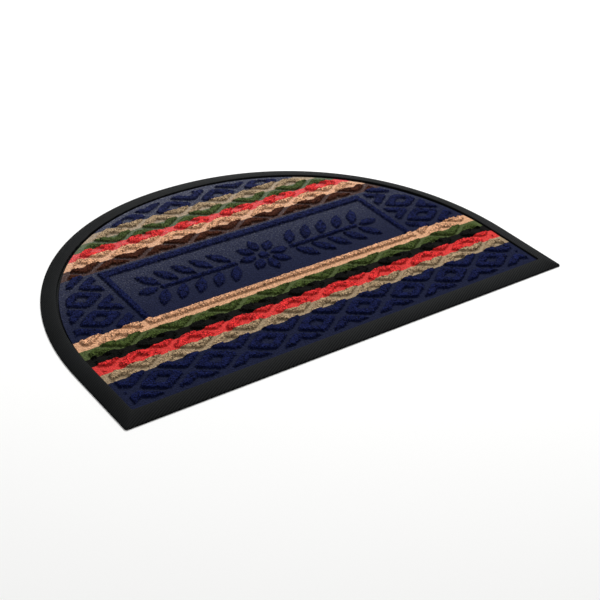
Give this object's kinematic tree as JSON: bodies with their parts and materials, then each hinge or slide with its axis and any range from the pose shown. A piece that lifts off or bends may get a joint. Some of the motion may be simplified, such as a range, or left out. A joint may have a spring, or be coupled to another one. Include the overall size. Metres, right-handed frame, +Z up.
{
  "type": "half-round doormat",
  "caption": "Half-round entrance mat: a moulded rubber tray with a bevelled border around a striped pile carpet, with raised lozenge rings and a framed leaf ornament.",
  "frame": {"origin": "on the underside, at the middle of the mat's length and depth", "axes": "+X along the straight front edge, +Y from the straight edge towards the top of the arc, +Z up out of the pile"},
  "size_m": [0.6, 0.4, 0.0066],
  "materials": {
    "moulded_rubber": "matte black rubber with a fine moulded grain",
    "polyester_pile": "navy pile with bands of peach, green, black, red, khaki and brown, raised figures over pressed grooves"
  },
  "bodies": {
    "root": {"rubber_base": "moulded_rubber", "carpet": "polyester_pile"}
  },
  "joints": []
}
